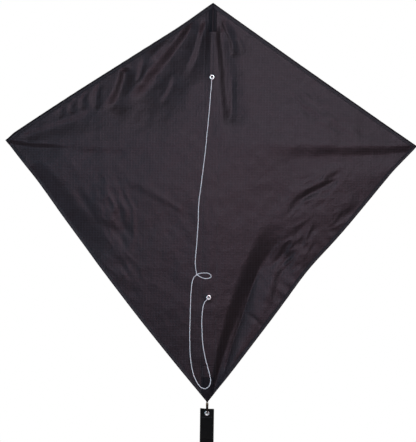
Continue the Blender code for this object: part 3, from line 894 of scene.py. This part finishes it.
def spine_sleeve():
    """The strip of sailcloth sewn over the spine, with windows at the eyelets and the fitting."""
    low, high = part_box("spine_sleeve")
    inner = SPINE_RADIUS + 0.45 * MM
    half = high.x
    fine = np.linspace(-inner * 1.7, inner * 1.7, 31)
    flat = np.linspace(inner * 1.7, half, 7)[1:]
    across = np.concatenate((-flat[::-1], fine, flat))
    windows = []
    for node, reach in (("upper_eyelet", 7 * MM), ("centre_fitting", 17 * MM), ("lower_eyelet", 7 * MM)):
        z = middle(node).z
        windows.append((z - reach, z + reach))
    rows = np.concatenate([np.arange(low.z, high.z, 2 * MM), np.ravel(windows), [high.z]])
    z = np.unique(np.round(rows, 5))
    x = np.broadcast_to(across, (len(z), len(across)))
    height = np.broadcast_to(z[:, None], x.shape)
    crown = SPINE_Y - SAIL_Y
    lift = arch(x, inner, crown, 0.3 * MM)
    share = 1 - np.clip(lift / (crown + inner), 0, 1)
    shape = Shape()
    points = np.stack((x, SAIL_Y + relief(x, height) * share + lift, height), -1)
    centre_x = (across[:-1] + across[1:]) / 2
    centre_z = (z[:-1] + z[1:]) / 2
    keep = np.ones((len(centre_z), len(centre_x)), bool)
    for start, end in windows:
        inside = (centre_z > start) & (centre_z < end)
        keep[np.ix_(inside, abs(centre_x) < 5.7 * MM)] = False
    shape.grid(points, keep=keep)
    for side in (-1, 1):
        dense = np.linspace(low.z + 2 * MM, high.z - 2 * MM, 1500)
        row = np.full(len(dense), side * (half - 1.5 * MM))
        stitches(shape, on_cloth(row, dense, -(0.3 * MM + CLOTH / 2)), side=1)
        front = np.linspace(TAIL_Z + 24 * MM, NOSE_Z - 16 * MM, 1800)
        stitches(shape, on_cloth(np.full(len(front), side * (half - 0.8 * MM)), front, CLOTH / 2 - 0.05 * MM))
    made = shape.piece("spine_sleeve_cloth", [RIPSTOP, THREAD], CLOTH)
    settle(made, "keel", "ripstop", "spine_sleeve")


def pocket(name, node, body, mouth, end, axis, rod_y, radius):
    """A pouch sewn behind the sail for a capped rod end: open at mouth and flat beyond end."""
    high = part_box(node)[1]
    half = high.x if axis == "z" else high.z
    inner = radius + 0.3 * MM
    across = np.linspace(-half, half, 33)
    rows = np.linspace(0, 1, 36)
    along = mouth + (end - mouth) * rows
    grid_a, grid_w = np.meshgrid(across, along)
    grid_r = np.broadcast_to(rows[:, None], grid_a.shape)
    crown = rod_y(grid_w) - SAIL_Y
    base = 0.65 * MM
    closing = smooth(grid_r, 1.0, 0.93)
    lift = base + (arch(grid_a, inner, crown, base) - base) * closing
    x, z = (grid_a, grid_w) if axis == "z" else (grid_w, grid_a)
    share = 1 - np.clip(lift / (crown + inner), 0, 1)
    shape = Shape()
    shape.grid(np.stack((x, SAIL_Y + relief(x, z) * share + lift, z), -1))
    run = np.linspace(mouth + np.sign(end - mouth) * MM, end - np.sign(end - mouth) * MM, 160)
    for side in (-1, 1):
        level = np.full(len(run), side * (half - 1.1 * MM))
        x, z = (level, run) if axis == "z" else (run, level)
        stitches(shape, on_cloth(x, z, -(base + CLOTH / 2)), side=1)
    made = shape.piece(name, [TAPE, THREAD], 0.35 * MM)
    settle(made, body, "binding_tape", node)


def pockets():
    radius = SPINE_RADIUS + 0.6 * MM

    def spine_line(where):
        return SPINE_Y + 0 * where

    low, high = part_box("nose_pocket")
    pocket("nose_rod_pocket", "nose_pocket", "keel", low.z, high.z, "z", spine_line, radius)
    low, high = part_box("tail_pocket")
    pocket("tail_rod_pocket", "tail_pocket", "keel", high.z, low.z, "z", spine_line, radius)
    for word, side in (("left", -1), ("right", 1)):
        low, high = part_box(f"{word}_tip_pocket")
        mouth, end = (high.x, low.x) if side < 0 else (low.x, high.x)
        names = (f"{word}_rod_pocket", f"{word}_tip_pocket", f"{word}_wing")
        pocket(*names, mouth, end, "x", spreader_y, SPREADER_RADIUS + 0.6 * MM)


TIP_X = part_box("right_spreader")[1].x
TIP_Y = middle("right_tip_cap").y


def spreader_y(x):
    """Where the bowed spreader is behind the sail, at a distance from the spine."""
    beyond = np.clip((abs(x) - 12 * MM) / (TIP_X - 12 * MM), 0, 1.1)
    return SPREADER_Y + (TIP_Y - SPREADER_Y) * beyond**1.2


def spars():
    low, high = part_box("spine_rod")
    shape = Shape()
    turned(shape, rounded(high.z - low.z, SPINE_RADIUS, 0.25), (0, SPINE_Y, low.z), (0, 0, 1), 32)
    rod = shape.piece("spine", [FIBREGLASS])
    settle(rod, "keel", "fibreglass", "spine_rod")
    for word, side in (("left", -1), ("right", 1)):
        reach = np.linspace(0, TIP_X, 150)
        path = np.stack((side * reach, spreader_y(reach), 0 * reach), 1)
        radii = np.full(len(path), SPREADER_RADIUS)
        radii[-1] *= 0.75
        shape = Shape()
        shape.tube(rings(path, radii, 32))
        rod = shape.piece(f"{word}_spreader_rod", [FIBREGLASS])
        bend(rod, word, side)
        middle_part = ["spreader_middle"] if side > 0 else []
        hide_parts(f"{word}_spreader", *middle_part)


def caps():
    """Vinyl caps pushed over the rods' ends, each with a rolled lip."""
    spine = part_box("spine_rod")
    ends = [("nose", "keel", Vector((0, SPINE_Y, spine[1].z + 2 * MM)), (0, 0, -1), SPINE_RADIUS)]
    ends.append(("tail", "keel", Vector((0, SPINE_Y, spine[0].z - 2 * MM)), (0, 0, 1), SPINE_RADIUS))
    for word, side in (("left", -1), ("right", 1)):
        slope = (spreader_y(TIP_X - 0.014) - spreader_y(TIP_X)) / 0.014
        tip = Vector((side * (TIP_X + 2 * MM), spreader_y(TIP_X), 0))
        ends.append((f"{word}_tip", f"{word}_wing", tip, (-side, slope, 0), SPREADER_RADIUS))
    for word, body, tip, inward, rod_radius in ends:
        bore, outer = rod_radius + 0.05 * MM, rod_radius + 0.85 * MM
        arc = np.linspace(0, np.pi / 2, 8)
        dome = [(outer * 0.8 * (1 - math.cos(a)), outer * (0.3 + 0.7 * math.sin(a))) for a in arc]
        lip = [(12.6 * MM, outer), (13.1 * MM, outer + 0.3 * MM), (13.9 * MM, outer + 0.3 * MM)]
        mouth = [(14.3 * MM, outer), (14.3 * MM, bore), (2 * MM, bore), (2 * MM, bore * 0.3)]
        shape = Shape()
        turned(shape, dome + lip + mouth, tip, inward, 32, closed=True)
        cap = shape.piece(f"{word}_end_cap", [VINYL])
        settle(cap, body, "vinyl", f"{word}_cap")


def carried_over():
    """The CAD's centre fitting, with its edges softened."""
    fitting = frame["nodes"]["centre_fitting"]
    fitting.data.materials.clear()
    fitting.data.materials.append(VINYL)
    softened = fitting.modifiers.new("moulded edges", "BEVEL")
    softened.width = 0.35 * MM
    softened.segments = 3
    softened.angle_limit = math.radians(50)


# Eyelets and cord


def eyelet(name, node, body):
    """A rolled eyelet in front, and the washer it is set over behind."""
    centre = middle(node)
    face = relief(np.array([centre.x]), np.array([centre.z]))[0] if body == "keel" else 0.0
    front = SAIL_Y + face - CLOTH / 2
    hole, rim, roll = 2.0 * MM, 4.5 * MM, 0.95 * MM
    arc = np.linspace(0, np.pi, 14)
    middle_radius, half = (hole + rim) / 2, (rim - hole) / 2
    over = [(-roll * math.sin(a) ** 0.8, middle_radius - half * math.cos(a)) for a in arc]
    barrel = [(-0.15 * MM, rim - 0.35 * MM), (0.02 * MM, hole + 0.5 * MM), (1.5 * MM, hole + 0.4 * MM)]
    barrel += [(1.7 * MM, hole + 0.9 * MM), (2.0 * MM, hole + 0.8 * MM), (2.0 * MM, hole)]
    shape = Shape()
    turned(shape, over + barrel, (centre.x, front, centre.z), (0, 1, 0), closed=True)
    made = shape.piece(f"{name}_ring", [NICKEL])
    settle(made, body, "nickel", node)
    back = front + CLOTH + 0.3 * MM
    plate = [(0, hole + 0.6 * MM), (0, rim - 0.1 * MM), (0.25 * MM, rim), (0.5 * MM, rim - 0.15 * MM)]
    plate += [(0.75 * MM, middle_radius), (0.6 * MM, hole + 0.6 * MM)]
    shape = Shape()
    turned(shape, plate, (centre.x, back, centre.z), (0, 1, 0), closed=True)
    washer = shape.piece(f"{name}_back_ring", [NICKEL])
    settle(washer, body, "nickel", f"{node}_washer")


def ply(yarns, pitch, depth):
    """A radius that swells at each yarn of a twisted cord."""

    def lobes(angle, distance):
        turn = yarns * (angle - 2 * np.pi * distance / pitch)
        return 1 - depth + depth * abs(np.cos(turn / 2)) * 1.4

    return lobes


TWIST = ply(3, 4.2 * MM, 0.22)


def centre_line(node, start):
    """The middles of a CAD cord's rings, in order from the end nearest start."""
    corners = [v.co for v in frame["nodes"][node].data.vertices]
    left = np.unique(np.round(corners, 6), axis=0)
    line = []
    near = np.array(start)
    while len(left):
        order = np.argsort(np.linalg.norm(left - near, axis=1))
        near = left[order[:RING_POINTS]].mean(axis=0)
        line.append(near)
        left = left[order[RING_POINTS:]]
    return np.array(line)


def hung(line):
    """A cord's line from its eyelet, lowered to where it hangs in the hole."""
    eased = smooth(line[0][2] - line[:, 2], 12 * MM, 0) * HOLE_DROP
    return line - eased[:, None] * np.array((0, 0, 1))


def cord_rings(path, radius=CORD_RADIUS, wobble=0.25 * MM, seed=1):
    """Rings of a twisted cord along a path that wanders a little, less so near its ends."""
    distance = np.arange(len(path)) * CORD_STEP
    ease = smooth(distance, 0, 12 * MM) * smooth(distance, distance[-1], distance[-1] - 12 * MM)
    path = path.copy()
    for axis, size in ((0, 14 * MM), (2, 18 * MM), (0, 31 * MM)):
        path[:, axis] += wobble * ease * fractal(distance, 0 * distance, size, seed + axis, 2)
    return rings(path, radius, 12, TWIST)


def cord_piece(name, rows, finish, body=None):
    shape = Shape()
    shape.tube(rows)
    made = shape.piece(name, [finish])
    if body:
        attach(made, body)
    return made


def bridle():
    """The white bridle: its upper leg up to the tow loop's knot, and the slack lower leg with its return."""
    upper_eye, lower_eye = JOINTS["bridle_pull"], JOINTS["bridle_lower_swing"]
    knot, turn = JOINTS["tow_loop_turn"], JOINTS["bridle_lower_unfold"]
    above = Vector((0, 0, 2 * MM))
    path = hung(centre_line("bridle_upper_leg", upper_eye + above))
    path = curve(np.vstack((path, [knot])), CORD_STEP)
    leg = cord_piece("bridle_upper", cord_rings(path), WHITE_CORD, "bridle_upper")
    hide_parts("bridle_upper_leg")

    near = hung(centre_line("bridle_lower_leg", lower_eye + above))
    far = centre_line("bridle_return_leg", turn)
    under_knot = knot + Vector((-1.4 * MM, 0, -1.3 * MM))
    path = curve(np.vstack((near, far, [under_knot])), CORD_STEP)
    rows = cord_rings(path, seed=4)
    low = path[:, 2] < turn.z + 13 * MM
    first, last = np.flatnonzero(low)[[0, -1]]
    leg = cord_piece("bridle_lower", rows[: first + 1], WHITE_CORD, "bridle_lower")
    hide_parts("bridle_lower_leg")
    leg = cord_piece("bridle_return", rows[last:], WHITE_CORD, "bridle_return")
    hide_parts("bridle_return_leg")
    arc = cord_piece("bridle_turn", rows[first : last + 1], WHITE_CORD)
    start, end = Vector(path[first]), Vector(path[last])
    end.z = start.z
    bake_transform(arc)


def tow_loop():
    """An overhand knot and the small loop that the flying line is tied to."""
    knot = JOINTS["tow_loop_turn"]
    loop = [(0, 0, 0.6), (6.9, 0, 2.4), (14, 0.4, 2.8), (21.3, 0.5, 2.1), (25.3, 0, -2.1)]
    loop += [(23.2, -0.5, -5.7), (14.2, -0.5, -7.1), (6, 0, -4.2), (0.6, 0, -1.0)]
    path = curve(np.array(loop) * MM + np.array(knot), CORD_STEP)
    shape = Shape()
    shape.tube(cord_rings(path, wobble=0.1 * MM, seed=9))
    shape.tube(rings(np.array(knot) + trefoil() * 0.55 * MM, 0.9 * CORD_RADIUS, 12))
    made = shape.piece("tow_loop_knotted", [WHITE_CORD])
    settle(made, "tow_loop", "bridle_cord", "tow_loop")


def hitches():
    """Each leg's end: through its eyelet and twice round the spine."""
    for word, joint in (("upper", "bridle_pull"), ("lower", "bridle_lower_swing")):
        eye = JOINTS[joint] - Vector((0, 0, HOLE_DROP))
        around = SPINE_RADIUS + CORD_RADIUS
        turns = np.linspace(-np.pi, 3 * np.pi, 60)
        rise = np.linspace(-3.4, -1.2, 60) * MM
        wrap = np.stack((around * np.sin(turns), SPINE_Y + around * np.cos(turns), eye.z + rise), 1)
        stem = [(0, eye.y - 0.2 * MM, eye.z), (0, SAIL_Y, eye.z)]
        stem.append((-0.3 * MM, SPINE_Y - around - 0.6 * MM, eye.z - 2.6 * MM))
        shape = Shape()
        shape.tube(rings(curve(np.vstack((stem, wrap)), CORD_STEP), CORD_RADIUS * 0.95, 12, TWIST))
        made = shape.piece(f"{word}_hitch", [WHITE_CORD])
        settle(made, "keel", "bridle_cord", f"{word}_bridle_hitch")


# The tail


def tail_tie():
    """The dark cord that the tail hangs on, one strand in front of the ribbon and one behind."""
    top, eye = JOINTS["tail_swing"], JOINTS["tail_sway"]
    drop = (eye.z - top.z) / MM
    near, far = [], []
    for share in np.linspace(0.02, 0.5, 7):
        turn = 0.6 * math.sin(4 * share)
        across, deep = 1.3 * math.cos(turn), 1.1 * math.sin(turn)
        near.append((across, deep - 4.4 * share, drop * share))
        far.append((-across, -deep + 5.6 * share, drop * share))
    front = [(0.5, -2.7, drop * 0.84), (0.2, -2.1, drop * 0.96)]
    back = [(-0.6, 2.6, drop * 0.78), (-0.2, 2.1, drop * 0.95)]
    loop = near + front + [(0, 0, drop - 0.3)] + back[::-1] + far[::-1]
    path = curve(np.array(loop) * MM + np.array(top), CORD_STEP)
    shape = Shape()
    shape.tube(cord_rings(path, 1.15 * MM, 0.1 * MM, 12))
    knot = np.array(top) + np.array((-0.4 * MM, -0.8 * MM, -1.2 * MM))
    # The knot is drawn in the lighter tie cord, a painted highlight.
    shape.tube(rings(knot + trefoil() * 0.45 * MM, 0.75 * MM, 12), 1)
    made = shape.piece("tail_tie_cord", [TIE_CORD, TIE_KNOT_HIGHLIGHT])
    settle(made, "tail_tie", "tie_cord", "tail_tie")
    corner = [(0.8, -0.2, -1.2), (1.2, -1.6, 1.5), (0.7, -1.8, 4.5), (0, -0.4, 6.4), (-0.7, 1.9, 4.5)]
    corner += [(-1.2, 1.6, 1.5), (-0.8, 0.2, -1.2)]
    path = curve(np.array(corner) * MM + np.array(top), CORD_STEP, closed=True)
    cord_piece("tail_corner_loop", cord_rings(path, 0.6 * MM, 0, 15), TIE_CORD, "keel")


def trefoil():
    """The centre line of an overhand knot, three units in radius."""
    t = np.linspace(0.1, 2 * np.pi - 0.1, 90)
    x, z = np.sin(t) + 2 * np.sin(2 * t), np.cos(t) - 2 * np.cos(2 * t)
    return np.stack((x, -np.sin(3 * t), z), 1)


def ribbon_y(x, z):
    """The ribbon's gentle waves and cupped edges."""
    down = (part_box("tail_ribbon_1")[1].z - z) / MM
    wave = 0.9 * np.sin(down / 38) + 0.4 * np.sin(down / 17 + 1.3)
    cup = 0.5 * (x / (12.5 * MM)) ** 2 * np.sin(down / 60 + 0.6)
    twist = 0.035 * x / MM * np.sin(down / 90)
    ease = smooth(down, 4, 40)
    return SAIL_Y + MM * ((wave + cup + twist) * ease + 0.1 * fractal(x / MM, down, 9, 5))


def ribbon_part(top, bottom, first=False):
    """A length of ribbon, cut square. The first one is folded back at the top, on its eyelet."""
    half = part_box("tail_ribbon_1")[1].x
    z = np.linspace(bottom, top, max(3, round((top - bottom) / (2 * MM))))
    x = np.linspace(-half, half, 21)
    grid_x, grid_z = np.meshgrid(x, z)
    shape = Shape()
    keep = None
    if first:
        z = np.arange(top - 40 * MM, top, 1.0 * MM)
        z = np.concatenate((np.linspace(bottom, z[0], 16)[:-1], z, [top]))
        grid_x, grid_z = np.meshgrid(np.linspace(-half, half, 27), z)
        eye = middle("tail_eyelet")
        keep = away_from([(eye.x, eye.z)], grid_x, grid_z)
    lean = 0.08 * (top - 18 * MM < grid_z) * first
    slope = grid_z - lean * grid_x * (grid_z - top + 18 * MM) / (18 * MM)
    shape.grid(np.stack((grid_x, ribbon_y(grid_x, grid_z), slope), -1), keep=keep)
    return shape


def tail():
    """The ribbon, in lengths that meet halfway between its hinges, one length across each hinge."""
    hinges = [JOINTS[name].z for name in ("tail_curl", "tail_curl_3", "tail_curl_4")]
    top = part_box("tail_ribbon_1")[1].z
    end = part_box("tail_ribbon_4")[0].z
    half_link = (hinges[0] - hinges[1]) / 2
    cuts = [hinges[0] + half_link] + [hinge - half_link for hinge in hinges]
    shape = ribbon_part(top, cuts[0], first=True)
    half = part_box("tail_ribbon_1")[1].x
    back = np.linspace(top - 17 * MM, top + 0.1 * MM, 30)
    grid_x, grid_z = np.meshgrid(np.linspace(-half + 0.2 * MM, half - 0.2 * MM, 27), back)
    eye = middle("tail_eyelet")
    keep = away_from([(eye.x, eye.z)], grid_x, grid_z)
    shape.grid(np.stack((grid_x, ribbon_y(grid_x, grid_z) + 0.55 * MM, grid_z), -1), keep=keep)
    dense = np.linspace(-half + MM, half - MM, 60)
    level = np.full(len(dense), top - 15 * MM)
    stitches(shape, np.stack((dense, ribbon_y(dense, level) - 0.2 * MM, level), -1))
    made = shape.piece("tail_top", [RIBBON, THREAD], 0.3 * MM)
    settle(made, "tail_1", "tail_ribbon", "tail_ribbon_1")
    for number, hinge in enumerate(hinges, start=2):
        shape = ribbon_part(hinge + half_link, hinge - half_link)
        made = shape.piece(f"tail_length_{number}", [RIBBON], 0.3 * MM)
        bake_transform(made)
        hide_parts(f"tail_ribbon_{number}")
    shape = ribbon_part(cuts[-1], end)
    made = shape.piece("tail_end", [RIBBON], 0.3 * MM)
    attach(made, "tail_4")


# Light, camera and floor


def light(name, place, aim, size, watts, colour):
    lamp = bpy.data.lights.new(name, "AREA")
    lamp.size = size
    lamp.energy = watts
    lamp.color = colour
    made = bpy.data.objects.new(name, lamp)
    made.location = place
    made.visible_camera = False
    made.rotation_euler = (Vector(aim) - Vector(place)).to_track_quat("-Z", "Y").to_euler()
    bpy.context.scene.collection.objects.link(made)


def surroundings():
    """White to the camera, and a soft cool sky over a warm ground for everything else."""
    world = bpy.data.worlds.new("surroundings")
    bpy.context.scene.world = world
    world.use_nodes = True
    tree = world.node_tree
    tree.nodes.clear()
    out = tree.nodes.new("ShaderNodeOutputWorld")
    choose = tree.nodes.new("ShaderNodeMixShader")
    path = tree.nodes.new("ShaderNodeLightPath")
    seen = tree.nodes.new("ShaderNodeBackground")
    seen.inputs[0].default_value = rgb(1, 1, 1)
    around = tree.nodes.new("ShaderNodeBackground")
    around.inputs[1].default_value = 0.10
    where = tree.nodes.new("ShaderNodeTexCoord")
    split = tree.nodes.new("ShaderNodeSeparateXYZ")
    ramp = tree.nodes.new("ShaderNodeMapRange")
    ramp.inputs[1].default_value = -0.7
    ramp.inputs[2].default_value = 0.7
    shade = tree.nodes.new("ShaderNodeMix")
    shade.data_type = "RGBA"
    shade.inputs[6].default_value = rgb(0.75, 0.62, 0.58)
    shade.inputs[7].default_value = rgb(0.86, 0.90, 1.0)
    links = tree.links
    links.new(where.outputs["Generated"], split.inputs[0])
    links.new(split.outputs[2], ramp.inputs[0])
    links.new(ramp.outputs[0], shade.inputs[0])
    links.new(shade.outputs[2], around.inputs[0])
    links.new(path.outputs["Is Camera Ray"], choose.inputs[0])
    links.new(around.outputs[0], choose.inputs[1])
    links.new(seen.outputs[0], choose.inputs[2])
    links.new(choose.outputs[0], out.inputs[0])


def lights():
    centre = (0, SAIL_Y, -0.1)
    light("cool_window", (-0.62, -2.1, 0.08), centre, 0.95, 7.4, (0.43, 0.88, 1.0))
    light("bright_window", (0.50, -2.1, 0.58), centre, 1.0, 19, (0.86, 0.97, 1.0))
    light("warm_wall", (0.10, -2.1, -0.10), centre, 0.7, 7.8, (1.0, 0.62, 0.70))
    light("cool_side", (-1.8, -1.3, -0.60), centre, 1.3, 9, (0.60, 0.82, 1.0))
    light("back_light", (-0.8, 1.9, 1.1), centre, 1.6, 30, (1.0, 1.0, 1.0))
    light("back_wall", (1.5, 1.6, -0.45), centre, 1.4, 36, (1.0, 0.97, 0.95))


def floor():
    """A plain pale disc under the tail's end."""
    made = Finish("floor")
    grain = made.noise(made.place(), 0.08, 4)
    colour = made.mix(grain, rgb(0.80, 0.80, 0.80), rgb(0.86, 0.86, 0.86))
    made.surface(base_color=colour, roughness=0.85)
    angles = np.linspace(0, 2 * np.pi, 96, endpoint=False)
    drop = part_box("tail_ribbon_4")[0].z - 6 * MM
    rim = [(0.9 * math.cos(a), 0.8 * math.sin(a), drop) for a in angles]
    shape = Shape()
    shape.add(rim, [list(range(len(rim)))])
    disc = shape.piece("floor", [made.material])


def camera():
    """Square to the sail, with the whole diamond and the tail's top in view."""
    lens, sensor, view_height, roll = 85.0, 36.0, 0.7934, math.radians(0.85)
    data = bpy.data.cameras.new("camera")
    data.lens = lens
    data.sensor_width = sensor
    made = bpy.data.objects.new("camera", data)
    right = Vector((math.cos(roll), 0, math.sin(roll)))
    up = Vector((-math.sin(roll), 0, math.cos(roll)))
    turn = Matrix((right, up, (0, -1, 0))).transposed()
    place = Vector((-0.0034, SAIL_Y - view_height * lens / sensor, -0.1399))
    made.matrix_world = Matrix.Translation(place) @ turn.to_4x4()
    bpy.context.scene.collection.objects.link(made)
    bpy.context.scene.camera = made
    bpy.context.scene.view_settings.view_transform = "Standard"


for wing_word, wing_side in (("left", -1), ("right", 1)):
    wing_panel(wing_word, wing_side)
    binding(wing_word, wing_side, True)
    binding(wing_word, wing_side, False)
patch("nose_doubling", "nose_patch")
patch("tail_doubling", "tail_patch")
spine_sleeve()
pockets()
spars()
caps()
carried_over()
eyelet("upper", "upper_eyelet", "keel")
eyelet("lower", "lower_eyelet", "keel")
eyelet("tail", "tail_eyelet", "tail_1")
bridle()
tow_loop()
hitches()
tail_tie()
tail()
surroundings()
lights()
floor()
camera()
